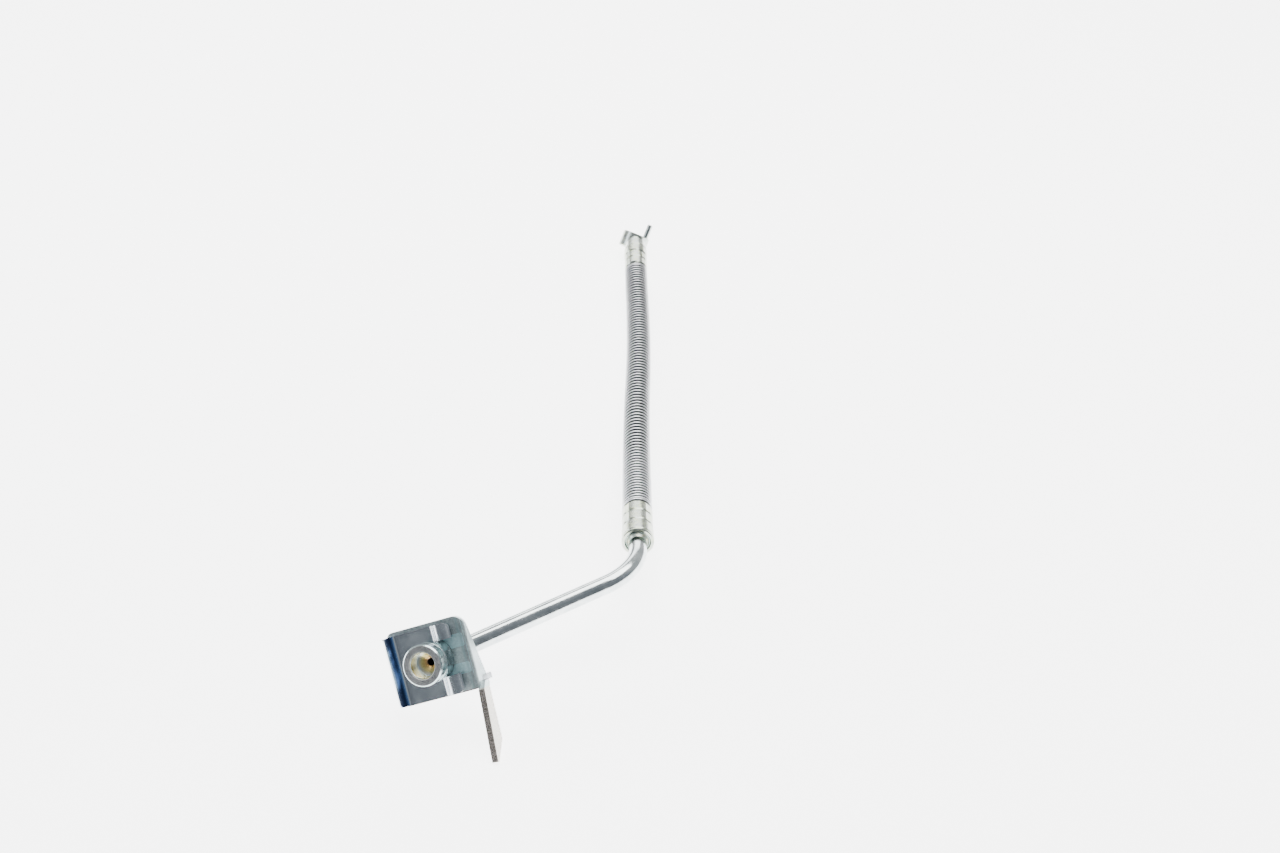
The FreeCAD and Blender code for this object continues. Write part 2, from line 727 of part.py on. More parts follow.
# the pin: a shank pressed into the ear, and the wider pin that stands on it
PIN_PL = BANJO_PL.multiply(Placement(ear_rot.multVec(Vector(pin_off.v, 0, 0)), Rotation()))
pin_foot = ear_low + ear_t
pin_top = pin_foot + pin_len
b = make_body("locating_pin", PIN_PL)
revolve(b, "Turned", [
    (q(0.0), ear_low + 0.02),
    (pin_shank_r, ear_low + 0.02),
    (pin_shank_r, pin_foot + pin_relief),
    (pin_r, pin_foot + pin_relief),
    (pin_r, pin_top - 0.45),
    (pin_r - 0.45, pin_top),
    (q(0.0), pin_top)])
parts["locating_pin"] = b


# ---------------------------------------------------------------- tubes along runs and arcs
def route(points, radii=None):
    """Runs and tangent arcs through the corners: (kind, data) and the whole length."""
    segs = []
    cur = points[0]
    total = 0.0
    for i in range(1, len(points) - 1):
        a, c, d = points[i - 1], points[i], points[i + 1]
        u1, u2 = unit(c - a), unit(d - c)
        turn = math.acos(max(-1.0, min(1.0, u1.dot(u2))))
        shorter = min((c - a).Length, (d - c).Length)
        if radii:
            r = radii[i - 1]
            cut = r * math.tan(turn / 2)
        else:
            cut = 0.45 * shorter
            r = cut / math.tan(turn / 2)
        start = c - u1 * cut
        axis = unit(u1.cross(u2))
        centre = start + axis.cross(u1) * r
        segs.append(("run", cur, start))
        segs.append(("arc", start, centre, axis, math.degrees(turn), u1))
        total += (start - cur).Length + r * turn
        cur = c + u2 * cut
        print("corner %d: turn %.1f deg, radius %.1f" % (i, math.degrees(turn), r))
    segs.append(("run", cur, points[-1]))
    total += (points[-1] - cur).Length
    return segs, total


def section(at, d, outer, inner):
    ring = Part.Wire([Part.makeCircle(outer, at, d)])
    if inner <= 0:
        return Part.Face(ring)
    hole = Part.Wire([Part.makeCircle(inner, at, d)])
    return Part.Face(ring).cut(Part.Face(hole)).Faces[0]


def tube(segs, outer, inner):
    solids = []
    for s in segs:
        if s[0] == "run":
            d = s[2] - s[1]
            if d.Length < 1e-6:
                continue
            solids.append(section(s[1], unit(d), outer, inner).extrude(d))
        else:
            solids.append(section(s[1], s[5], outer, inner).revolve(s[2], s[3], s[4]))
    body = solids[0].fuse(solids[1:]) if len(solids) > 1 else solids[0]
    body = body.removeSplitter()
    return body.Solids[0] if len(body.Solids) == 1 else body


def tube_part(name, points, outer, inner, radii=None):
    base = points[0]
    local = [p - base for p in points]
    segs, total = route(local, radii)
    o = doc.addObject("Part::Feature", name)
    o.Label = name
    o.Shape = tube(segs, outer, inner)
    o.Placement = Placement(base, Rotation())
    want = math.pi * (outer ** 2 - inner ** 2) * total
    print("%s: length %.2f, volume %.1f, section x length %.1f" % (name, total, o.Shape.Volume, want))
    if abs(o.Shape.Volume - want) > 0.002 * want:
        raise RuntimeError(name)
    parts[name] = o
    return total


# steel tube: socket of the fitting, hidden bend behind the bracket, long straight, bend to the hose
T0 = F0 + A_DIR * (val("fitting_length") - val("socket_depth") + 0.05)
K2 = F0 + A_DIR * 31.0
C2 = NEAR - H0 * 20.5
T1 = NEAR + H0 * 6.5
tube_part("steel_tube", [T0, K2, C2, T1], val("tube_radius"), val("tube_bore_radius"),
          [val("tube_bend_hidden"), val("tube_bend_front")])

# hose layers, from the nipple's collar to the far nipple's collar
HOSE = [NEAR + H0 * val("hose_inset"), A1, A2, A3, A4, A5, FAR - HF * val("hose_inset")]
LAYERS = [("hose_inner_tube", "liner_radius", "hose_bore_radius"),
          ("hose_inner_braid", "inner_braid_radius", "liner_radius"),
          ("hose_cushion_layer", "cushion_radius", "inner_braid_radius"),
          ("hose_outer_braid", "outer_braid_radius", "cushion_radius"),
          ("hose_cover", "hose_radius", "outer_braid_radius")]
for name, r_out, r_in in LAYERS:
    hose_length = tube_part(name, HOSE, val(r_out), val(r_in))
print("hose length", hose_length)

# spring guard: the wound wire as one closed sleeve between the ferrules.  Its arcs are the hose's.
hose_segs, hose_total = route([p - HOSE[0] for p in HOSE])


def trim(segs, lead, tail):
    out = [list(s) for s in segs]
    first, last = out[0], out[-1]
    first[1] = first[1] + unit(first[2] - first[1]) * lead
    last[2] = last[2] - unit(last[2] - last[1]) * tail
    return out


lead = val("near_ferrule_length") - val("hose_inset") + 0.02
tail = val("far_ferrule_length") - val("hose_inset") + 0.02
last_run = (hose_segs[-1][2] - hose_segs[-1][1]).Length
print("last run", last_run, "tail", tail)
tail = min(tail, last_run - 0.01)
guard = doc.addObject("Part::Feature", "spring_guard")
guard.Label = "spring_guard"
guard.Shape = tube(trim(hose_segs, lead, tail), val("guard_radius"), val("guard_inner_radius"))
guard.Placement = Placement(HOSE[0], Rotation())
want = math.pi * (val("guard_radius") ** 2 - val("guard_inner_radius") ** 2) * (hose_total - lead - tail)
print("spring_guard: length %.2f, volume %.1f, wanted %.1f"
      % (hose_total - lead - tail, guard.Shape.Volume, want))
parts["spring_guard"] = guard

# ---------------------------------------------------------------- checks and files
doc.recompute()
bad = []
for o in doc.Objects:
    if any(w in str(o.State) for w in ("Invalid", "Error")):
        bad.append((o.Name, o.State, o.getStatusString()))
if bad:
    raise RuntimeError("failed objects: %s" % bad)
low = None
for name in sorted(parts):
    o = parts[name]
    s = o.Shape
    if s.isNull() or not s.isValid() or len(s.Solids) != 1:
        raise RuntimeError("bad shape: %s solids %d valid %s" % (name, len(s.Solids), s.isValid()))
    bb = s.optimalBoundingBox(False)
    low = bb if low is None else low.united(bb)
    print("%-20s vol %9.1f  x %7.2f..%7.2f y %8.2f..%8.2f z %6.2f..%6.2f" % (
        name, s.Volume, bb.XMin, bb.XMax, bb.YMin, bb.YMax, bb.ZMin, bb.ZMax))
    s.exportStep("parts/%s.step" % name)
print("all x %.3f..%.3f y %.3f..%.3f z %.3f..%.3f" % (low.XMin, low.XMax, low.YMin, low.YMax, low.ZMin, low.ZMax))
print("fit frame", FIT)
print("near frame", NEAR_PL)
print("far frame", FAR_PL)
print("banjo frame", BANJO_PL)
print("pin frame", PIN_PL)
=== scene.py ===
import bpy
import math
from mathutils import Vector, Matrix


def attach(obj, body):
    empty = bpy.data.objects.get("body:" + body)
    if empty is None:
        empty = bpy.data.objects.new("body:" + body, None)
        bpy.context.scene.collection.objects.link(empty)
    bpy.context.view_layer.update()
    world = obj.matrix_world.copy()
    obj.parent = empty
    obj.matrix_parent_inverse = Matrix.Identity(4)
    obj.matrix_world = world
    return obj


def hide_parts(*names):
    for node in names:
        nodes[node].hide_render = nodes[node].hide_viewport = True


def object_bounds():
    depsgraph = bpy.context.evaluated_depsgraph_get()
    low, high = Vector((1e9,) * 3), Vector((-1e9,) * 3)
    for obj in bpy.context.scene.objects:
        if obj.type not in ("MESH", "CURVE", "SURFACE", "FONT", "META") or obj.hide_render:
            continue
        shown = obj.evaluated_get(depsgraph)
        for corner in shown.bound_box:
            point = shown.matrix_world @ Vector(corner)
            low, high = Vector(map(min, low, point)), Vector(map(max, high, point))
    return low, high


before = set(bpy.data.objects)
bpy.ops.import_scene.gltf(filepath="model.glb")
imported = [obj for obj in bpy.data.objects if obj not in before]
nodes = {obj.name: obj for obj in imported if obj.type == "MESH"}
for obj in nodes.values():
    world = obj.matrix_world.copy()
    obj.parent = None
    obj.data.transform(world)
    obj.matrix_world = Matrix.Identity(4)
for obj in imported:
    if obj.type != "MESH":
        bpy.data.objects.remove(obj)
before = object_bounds()
MM = 0.001
SHIFT = Vector((46.843, -478.869, 0.0))


def P(x, y, z):
    return (Vector((x, y, z)) + SHIFT) * MM


# ------------------------------------------------------------------ camera
cam_data = bpy.data.cameras.new("camera")
cam = bpy.data.objects.new("camera", cam_data)
bpy.context.scene.collection.objects.link(cam)
cam.location = P(0.0, 0.0, 379.2)
cam.rotation_euler = (math.radians(90.0 - 38.0), 0.0, 0.0)
cam_data.sensor_width = 36.0
cam_data.lens = 1150.0 / 1280.0 * 36.0
cam_data.clip_start = 0.01
cam_data.clip_end = 50.0
bpy.context.scene.camera = cam

# ------------------------------------------------------------------ places, as the CAD has them
F0 = P(-83.6, 291.0, 35.3)
A_DIR = Vector((0.226, 0.756, -0.615)).normalized()
FIT_Z = -A_DIR
FIT_X = Vector((0.935, 0.008, 0.354))
FIT_X = (FIT_X - FIT_Z * FIT_X.dot(FIT_Z)).normalized()
FIT_Y = FIT_Z.cross(FIT_X)
NEAR = P(-0.95, 368.7, 26.1)
A1 = P(-1.75, 430.0, 16.6)
A2 = P(-1.9, 487.0, 8.1)
A3 = P(-0.6, 543.0, 6.74)
A4 = P(-1.3, 588.8, 7.95)
A5 = P(-2.3, 616.8, 11.4)
FAR = P(-2.9, 653.5, 11.7)
H0 = (A1 - NEAR).normalized()
HF = (FAR - A5).normalized()
N_DIR = Vector((0.38, 0.50, 0.78)).normalized()
B0 = P(-4.0, 670.8, 9.162)
HOSE_START = NEAR + H0 * 9.0 * MM
HOSE_END = FAR - HF * 9.0 * MM
GUARD_START = NEAR + H0 * 24.02 * MM
ROUTE = [HOSE_START, A1, A2, A3, A4, A5, HOSE_END]


# ------------------------------------------------------------------ materials
class Mat:
    """A small builder for procedural node materials."""

    def __init__(self, name):
        self.m = bpy.data.materials.new(name)
        self.m.use_nodes = True
        self.t = self.m.node_tree
        self.t.nodes.clear()
        self.out = self.t.nodes.new("ShaderNodeOutputMaterial")
        self.b = self.t.nodes.new("ShaderNodeBsdfPrincipled")
        self.t.links.new(self.b.outputs[0], self.out.inputs[0])
        self.co = self.t.nodes.new("ShaderNodeTexCoord").outputs["Object"]

    def node(self, kind, **vals):
        n = self.t.nodes.new(kind)
        for k, v in vals.items():
            if hasattr(n, k):
                setattr(n, k, v)
            else:
                n.inputs[k].default_value = v
        return n

    def link(self, a, b):
        self.t.links.new(a, b)

    def dot(self, direction, origin=None):
        src = self.co
        if origin is not None:
            s = self.node("ShaderNodeVectorMath", operation="SUBTRACT")
            self.link(src, s.inputs[0])
            s.inputs[1].default_value = tuple(origin)
            src = s.outputs[0]
        d = self.node("ShaderNodeVectorMath", operation="DOT_PRODUCT")
        self.link(src, d.inputs[0])
        d.inputs[1].default_value = tuple(direction)
        return d.outputs["Value"]

    def noise(self, scale, detail=4.0, rough=0.55, vector=None, dims="3D", w=None, distortion=0.0):
        n = self.node("ShaderNodeTexNoise")
        n.noise_dimensions = dims
        n.inputs["Scale"].default_value = scale
        n.inputs["Detail"].default_value = detail
        n.inputs["Roughness"].default_value = rough
        n.inputs["Distortion"].default_value = distortion
        if dims == "1D":
            self.link(w, n.inputs["W"])
        else:
            self.link(vector if vector is not None else self.co, n.inputs["Vector"])
        return n.outputs["Fac"] if "Fac" in n.outputs else n.outputs[0]

    def ramp(self, fac, stops, interp="LINEAR"):
        r = self.node("ShaderNodeValToRGB")
        r.color_ramp.interpolation = interp
        el = r.color_ramp.elements
        while len(el) < len(stops):
            el.new(0.5)
        for e, (p, c) in zip(el, stops):
            e.position = p
            e.color = c if len(c) == 4 else (c[0], c[1], c[2], 1.0)
        self.link(fac, r.inputs[0])
        return r.outputs[0]

    def span(self, fac, lo, hi, a=0.0, b=1.0):
        r = self.node("ShaderNodeMapRange")
        r.inputs["From Min"].default_value = a
        r.inputs["From Max"].default_value = b
        r.inputs["To Min"].default_value = lo
        r.inputs["To Max"].default_value = hi
        self.link(fac, r.inputs["Value"])
        return r.outputs[0]

    def math(self, op, a, b=None):
        n = self.node("ShaderNodeMath", operation=op)
        for i, v in enumerate((a, b)):
            if v is None:
                continue
            if isinstance(v, (int, float)):
                n.inputs[i].default_value = v
            else:
                self.link(v, n.inputs[i])
        return n.outputs[0]

    def mix(self, fac, a, b, blend="MIX"):
        n = self.node("ShaderNodeMix", data_type="RGBA", blend_type=blend)
        if isinstance(fac, (int, float)):
            n.inputs[0].default_value = fac
        else:
            self.link(fac, n.inputs[0])
        for sock, v in ((n.inputs[6], a), (n.inputs[7], b)):
            if isinstance(v, tuple):
                sock.default_value = v if len(v) == 4 else (v[0], v[1], v[2], 1.0)
            else:
                self.link(v, sock)
        return n.outputs[2]

    def bump(self, height, strength, distance, normal=None):
        n = self.node("ShaderNodeBump")
        n.inputs["Strength"].default_value = strength
        n.inputs["Distance"].default_value = distance
        self.link(height, n.inputs["Height"])
        if normal is not None:
            self.link(normal, n.inputs["Normal"])
        return n.outputs[0]

    def color(self, c):
        if isinstance(c, tuple):
            self.b.inputs["Base Color"].default_value = c if len(c) == 4 else (*c, 1.0)
        else:
            self.link(c, self.b.inputs["Base Color"])

    def rough(self, r):
        if isinstance(r, (int, float)):
            self.b.inputs["Roughness"].default_value = r
        else:
            self.link(r, self.b.inputs["Roughness"])

    def metal(self, v=1.0):
        self.b.inputs["Metallic"].default_value = v

    def normal(self, n):
        self.link(n, self.b.inputs["Normal"])


def turned_metal(name, light, dark, axis, origin, rough=(0.16, 0.34), rings=2600.0, tint=None):
    """Zinc-plated turned steel: fine rings round its axis, cloudy plating, small pits."""
    m = Mat(name)
    along = m.dot(axis, origin)
    ring = m.noise(rings, 3.0, 0.6, dims="1D", w=along)
    cloud = m.noise(260.0, 5.0, 0.6)
    fine = m.noise(2400.0, 3.0, 0.7)
    col = m.ramp(m.math("ADD", m.math("MULTIPLY", cloud, 0.75), m.math("MULTIPLY", ring, 0.25)),
                 [(0.30, dark), (0.62, light)])
    if tint is not None:
        patch = m.ramp(m.noise(420.0, 3.0, 0.6), [(0.46, (0, 0, 0)), (0.70, (1, 1, 1))])
        col = m.mix(m.math("MULTIPLY", patch, 0.55), col, tint)
    m.color(col)
    m.metal()
    m.rough(m.span(m.math("ADD", m.math("MULTIPLY", cloud, 0.6), m.math("MULTIPLY", fine, 0.4)),
                   rough[0], rough[1], 0.3, 0.7))
    n1 = m.bump(ring, 0.22, 0.00006)
    m.normal(m.bump(fine, 0.12, 0.00005, n1))
    return m.m


def bracket_zinc(name):
    """Galvanised sheet; painted reflection on channel and lug, painted shade on bend and sheared edge, painted
    light on tab.
    """
    m = Mat(name)
    x = m.dot(FIT_X, F0)
    y = m.dot(FIT_Y, F0)
    z = m.dot(FIT_Z, F0)
    cloud = m.noise(120.0, 5.0, 0.6)
    fine = m.noise(1500.0, 4.0, 0.75)
    speck = m.noise(2600.0, 2.0, 0.5)
    base = m.ramp(m.math("ADD", m.math("MULTIPLY", cloud, 0.5), m.math("MULTIPLY", fine, 0.5)),
                  [(0.34, (0.24, 0.29, 0.30)), (0.66, (0.54, 0.62, 0.63))])
    hot = m.ramp(speck, [(0.62, (0, 0, 0)), (0.74, (1, 1, 1))])
    col = m.mix(m.math("MULTIPLY", hot, 0.5), base, (0.82, 0.87, 0.87))
    # painted reflection: a thin band on the plate face coloured cyan-white
    channel = m.math("MULTIPLY", m.math("LESS_THAN", z, -0.01238), m.math("GREATER_THAN", z, -0.01252))
    channel = m.math("MULTIPLY", channel, m.math("GREATER_THAN", y, -0.0085))
    col = m.mix(channel, col, m.ramp(fine, [(0.3, (0.48, 0.68, 0.71)), (0.7, (0.66, 0.86, 0.89))]))
    # painted reflection: the lug mottled dark and light
    lug = m.math("MULTIPLY", m.math("GREATER_THAN", x, 0.01552), m.math("GREATER_THAN", y, -0.0140))
    lug = m.math("MULTIPLY", lug, m.math("LESS_THAN", z, -0.0165))
    col = m.mix(lug, col, m.ramp(cloud, [(0.35, (0.16, 0.17, 0.18)), (0.62, (0.60, 0.64, 0.66))]))
    # painted shade: a dark teal band along the bend
    bend = m.ramp(m.span(x, 0.0, 1.0, 0.0118, 0.0152),
                  [(0.0, (0, 0, 0)), (0.35, (1, 1, 1)), (0.6, (0.2, 0.2, 0.2)), (1.0, (0, 0, 0))])
    painted_bend_shade = m.math("MULTIPLY", m.math("MULTIPLY", bend, 0.55), m.math("GREATER_THAN", z, -0.0148))
    col = m.mix(painted_bend_shade, col, (0.30, 0.44, 0.46))
    # painted light: the tab face coloured lighter and warmer than the rest of the sheet
    tab = m.math("LESS_THAN", y, -0.0152)
    tab_light_colour = m.ramp(fine, [(0.32, (0.34, 0.32, 0.29)), (0.62, (0.66, 0.63, 0.58))])
    col = m.mix(tab, col, tab_light_colour)
    # painted shade: a dark brownish strip along the lower front edge
    edge = m.math("MULTIPLY", m.math("LESS_THAN", y, -0.0145), m.math("GREATER_THAN", z, -0.01256))
    edge_shade_colour = m.ramp(m.noise(2100.0, 3.0, 0.7), [(0.40, (0.10, 0.09, 0.085)), (0.66, (0.42, 0.38, 0.35))])
    m.color(m.mix(edge, col, edge_shade_colour))
    m.metal()
    m.rough(m.span(fine, 0.28, 0.48, 0.3, 0.7))
    n1 = m.bump(fine, 0.5, 0.00009)
    m.normal(m.bump(speck, 0.25, 0.00006, n1))
    return m.m


def drawn_metal(name, light, dark, along, across, rough=(0.08, 0.22), scratch=0.25):
    """Polished steel with fine scratches drawn out one way."""
    m = Mat(name)
    vec = m.node("ShaderNodeCombineXYZ")
    a = m.math("MULTIPLY", m.dot(along), 60.0)
    b = m.math("MULTIPLY", m.dot(across), 3200.0)
    c = m.math("MULTIPLY", m.dot(along.cross(across)), 3200.0)
    m.link(a, vec.inputs[0])
    m.link(b, vec.inputs[1])
    m.link(c, vec.inputs[2])
    line = m.noise(1.0, 3.0, 0.65, vector=vec.outputs[0])
    cloud = m.noise(180.0, 4.0, 0.6)
    pit = m.noise(1900.0, 2.0, 0.6)
    col = m.ramp(m.math("ADD", m.math("MULTIPLY", cloud, 0.7), m.math("MULTIPLY", line, 0.3)),
                 [(0.32, dark), (0.62, light)])
    spot = m.ramp(pit, [(0.70, (0, 0, 0)), (0.76, (1, 1, 1))])
    m.color(m.mix(m.math("MULTIPLY", spot, 0.6), col, (0.10, 0.09, 0.08)))
    m.metal()
    m.rough(m.span(m.math("ADD", m.math("MULTIPLY", cloud, 0.5), m.math("MULTIPLY", line, 0.5)),
                   rough[0], rough[1], 0.3, 0.7))
    n1 = m.bump(line, scratch, 0.00003)
    m.normal(m.bump(cloud, 0.15, 0.0002, n1))
    return m.m


def rubber(name, col=(0.018, 0.018, 0.019), lighter=(0.05, 0.05, 0.05)):
    m = Mat(name)
    cloud = m.noise(350.0, 4.0, 0.6)
    grain = m.noise(4200.0, 2.0, 0.6)
    dust = m.ramp(m.noise(900.0, 4.0, 0.7), [(0.56, (0, 0, 0)), (0.78, (1, 1, 1))])
    base = m.ramp(cloud, [(0.3, col), (0.7, lighter)])
    m.color(m.mix(m.math("MULTIPLY", dust, 0.25), base, (0.16, 0.155, 0.15)))
    m.rough(m.span(cloud, 0.55, 0.78, 0.3, 0.7))
    m.b.inputs["IOR"].default_value = 1.5
    m.normal(m.bump(grain, 0.2, 0.00004))
    return m.m


def braid(name, axis, yarn=(0.78, 0.74, 0.64), gap=(0.30, 0.27, 0.22)):
    """Woven yarn round the hose: two sets of slanting strands."""
    m = Mat(name)
    along = m.dot(axis)
    side = m.dot(Vector((1, 0, 0)))
    p = m.math("ADD", along, side)
    k = m.math("SUBTRACT", along, side)
    w1 = m.math("SINE", m.math("MULTIPLY", p, 5200.0))
    w2 = m.math("SINE", m.math("MULTIPLY", k, 5200.0))
    weave = m.math("MULTIPLY", w1, w2)
    fuzz = m.noise(3000.0, 3.0, 0.7)
    fac = m.span(m.math("ADD", weave, m.math("MULTIPLY", fuzz, 0.4)), 0.0, 1.0, -0.6, 1.2)
    m.color(m.ramp(fac, [(0.1, gap), (0.6, yarn)]))
    m.rough(m.span(fuzz, 0.7, 0.92, 0.3, 0.7))
    m.normal(m.bump(weave, 0.5, 0.00015))
    return m.m


def brazed(name):
    m = Mat(name)
    cloud = m.noise(700.0, 4.0, 0.65)
    fine = m.noise(2600.0, 3.0, 0.7)
    m.color(m.ramp(cloud, [(0.30, (0.34, 0.42, 0.38)), (0.52, (0.52, 0.58, 0.50)), (0.74, (0.62, 0.52, 0.28))]))
    m.metal()
    m.rough(m.span(fine, 0.25, 0.5, 0.3, 0.7))
    m.normal(m.bump(cloud, 0.4, 0.00015))
    return m.m


def coiled_wire(name):
    """Bright drawn spring wire with small worn spots and polished crowns; painted shade on its flanks and
    underside.
    """
    m = Mat(name)
    cloud = m.noise(300.0, 4.0, 0.6)
    fine = m.noise(3200.0, 3.0, 0.7)
    spot = m.ramp(m.noise(1100.0, 3.0, 0.7), [(0.58, (0, 0, 0)), (0.72, (1, 1, 1))])
    base = m.ramp(m.math("ADD", m.math("MULTIPLY", cloud, 0.6), m.math("MULTIPLY", fine, 0.4)),
                  [(0.32, (0.66, 0.68, 0.70)), (0.66, (0.92, 0.93, 0.94))])
    worn = m.mix(m.math("MULTIPLY", spot, 0.3), base, (0.22, 0.22, 0.22))
    # painted shade: faces turned along the hose or downwards darkened towards black
    geo = m.node("ShaderNodeNewGeometry")
    part = m.node("ShaderNodeSeparateXYZ")
    m.link(geo.outputs["True Normal"], part.inputs[0])
    flank = m.math("ABSOLUTE", part.outputs[1])
    shade = m.ramp(flank, [(0.46, (0, 0, 0)), (0.80, (1, 1, 1))])
    low = m.ramp(m.span(part.outputs[2], 0.0, 1.0, -0.35, 0.5), [(0.0, (1, 1, 1)), (1.0, (0, 0, 0))])
    dark = m.math("MAXIMUM", m.math("MULTIPLY", shade, 0.88), m.math("MULTIPLY", low, 0.5))
    m.color(m.mix(dark, worn, (0.045, 0.045, 0.05)))
    m.metal()
    m.rough(m.span(fine, 0.24, 0.44, 0.3, 0.7))
    m.normal(m.bump(fine, 0.15, 0.00003))
    return m.m


def clip_steel(name):
    """Bright spring steel; its rolled lip carries painted reflection bands and a painted highlight line."""
    m = Mat(name)
    x = m.dot(FIT_X, F0)
    y = m.dot(FIT_Y, F0)
    vec = m.node("ShaderNodeCombineXYZ")
    m.link(m.math("MULTIPLY", y, 60.0), vec.inputs[0])
    m.link(m.math("MULTIPLY", x, 3200.0), vec.inputs[1])
    line = m.noise(1.0, 3.0, 0.65, vector=vec.outputs[0])
    cloud = m.noise(180.0, 4.0, 0.6)
    pit = m.noise(1900.0, 2.0, 0.6)
    base = m.ramp(m.math("ADD", m.math("MULTIPLY", cloud, 0.88), m.math("MULTIPLY", line, 0.12)),
                  [(0.32, (0.46, 0.50, 0.53)), (0.62, (0.60, 0.65, 0.68))])
    # painted reflection: white, navy and blue bands across the rolled lip, with a painted white highlight line
    painted_lip_reflection = m.ramp(m.span(x, 0.0, 1.0, -0.018, -0.0110),
                  [(0.0, (0.95, 0.97, 1.0)), (0.14, (0.80, 0.84, 0.88)), (0.20, (0.30, 0.36, 0.46)),
                   (0.27, (0.05, 0.08, 0.17)), (0.42, (0.02, 0.035, 0.09)), (0.50, (0.06, 0.14, 0.34)),
                   (0.57, (0.34, 0.54, 0.86)), (0.62, (0.90, 0.95, 1.0)), (0.68, (0.42, 0.46, 0.50)),
                   (1.0, (0.54, 0.58, 0.62))])
    lip = m.math("LESS_THAN", x, -0.0111)
    col = m.mix(lip, base, painted_lip_reflection)
    spot = m.ramp(pit, [(0.70, (0, 0, 0)), (0.76, (1, 1, 1))])
    m.color(m.mix(m.math("MULTIPLY", spot, 0.5), col, (0.10, 0.09, 0.08)))
    m.metal()
    m.rough(m.span(m.math("ADD", m.math("MULTIPLY", cloud, 0.5), m.math("MULTIPLY", line, 0.5)),
                   0.14, 0.28, 0.3, 0.7))
    n1 = m.bump(line, 0.06, 0.00003)
    m.normal(m.bump(cloud, 0.10, 0.0002, n1))
    return m.m


TUBE_DIR = ((NEAR - H0 * 20.5 * MM) - (F0 + A_DIR * 31.0 * MM)).normalized()
CROSS = TUBE_DIR.cross(Vector((0, 0, 1))).normalized()

# port fitting: plated outside, painted light and shade in the port (whitish at the mouth, yellow and dimmer deeper
# in), grooved threads on its wall
fm = Mat("fitting_plating")
f_along = fm.dot(FIT_Z, F0)
fx = fm.dot(FIT_X, F0)
fy = fm.dot(FIT_Y, F0)
f_rad = fm.math("SQRT", fm.math("ADD", fm.math("MULTIPLY", fx, fx), fm.math("MULTIPLY", fy, fy)))
f_cloud = fm.noise(330.0, 4.0, 0.6)
f_fine = fm.noise(2600.0, 3.0, 0.7)
f_ring = fm.noise(2600.0, 3.0, 0.6, dims="1D", w=f_along)
f_face = fm.noise(2600.0, 3.0, 0.7, dims="1D", w=f_rad)
outside = fm.ramp(fm.math("ADD", fm.math("MULTIPLY", f_cloud, 0.7), fm.math("MULTIPLY", f_ring, 0.3)),
                  [(0.32, (0.36, 0.46, 0.47)), (0.62, (0.66, 0.76, 0.76))])
# flat front ring, darker and pitted
pits = fm.ramp(fm.noise(3400.0, 3.0, 0.7), [(0.36, (0.10, 0.10, 0.11)), (0.66, (0.52, 0.53, 0.53))])
front = fm.math("GREATER_THAN", f_along, -0.00003)
inner = fm.math("LESS_THAN", f_rad, 0.00535)
deep = fm.math("MULTIPLY", inner, fm.math("LESS_THAN", f_along, -0.00005))
# painted light and shade in the port: colour runs with depth from whitish at the mouth to yellow, dimmer at the
# bottom
port_light_depth = fm.math("ADD", fm.span(f_along, 0.0, 0.8, -0.0066, -0.0088),
                   fm.math("MULTIPLY", f_cloud, 0.25))
painted_port_light = fm.ramp(port_light_depth, [(0.16, (0.80, 0.84, 0.85)), (0.34, (0.74, 0.78, 0.72)),
                          (0.60, (0.78, 0.66, 0.26)), (0.88, (0.70, 0.42, 0.14)),
                          (1.0, (0.5, 0.42, 0.38))])
c1 = fm.mix(front, outside, pits)
c2 = fm.mix(deep, c1, painted_port_light)
# painted highlight: a near-white ring round the port's mouth
painted_mouth_highlight = fm.math("MULTIPLY", fm.math("GREATER_THAN", f_rad, 0.00494),
              fm.math("MULTIPLY", fm.math("LESS_THAN", f_rad, 0.00542),
                      fm.math("GREATER_THAN", f_along, -0.00095)))
fm.color(fm.mix(painted_mouth_highlight, c2, (0.93, 0.95, 0.94)))
fm.metal()
fm.rough(fm.math("ADD", fm.span(fm.math("ADD", fm.math("MULTIPLY", f_cloud, 0.5), fm.math("MULTIPLY", f_fine, 0.5)),
                                0.12, 0.30, 0.3, 0.7), fm.math("MULTIPLY", front, 0.16)))
thread = fm.math("SINE", fm.math("MULTIPLY", f_along, 2.0 * math.pi / 0.001))
in_thread = fm.math("MULTIPLY", deep, fm.math("GREATER_THAN", f_along, -0.0061))
thread_h = fm.math("MULTIPLY", thread, in_thread)
fn1 = fm.bump(fm.math("ADD", fm.math("MULTIPLY", f_ring, 1.0), fm.math("MULTIPLY", fm.math("MULTIPLY", f_face, front), 1.6)),
              0.25, 0.00008)
fn2 = fm.bump(thread_h, 0.2, 0.00012, fn1)
fm.normal(fm.bump(f_fine, 0.15, 0.00005, fn2))

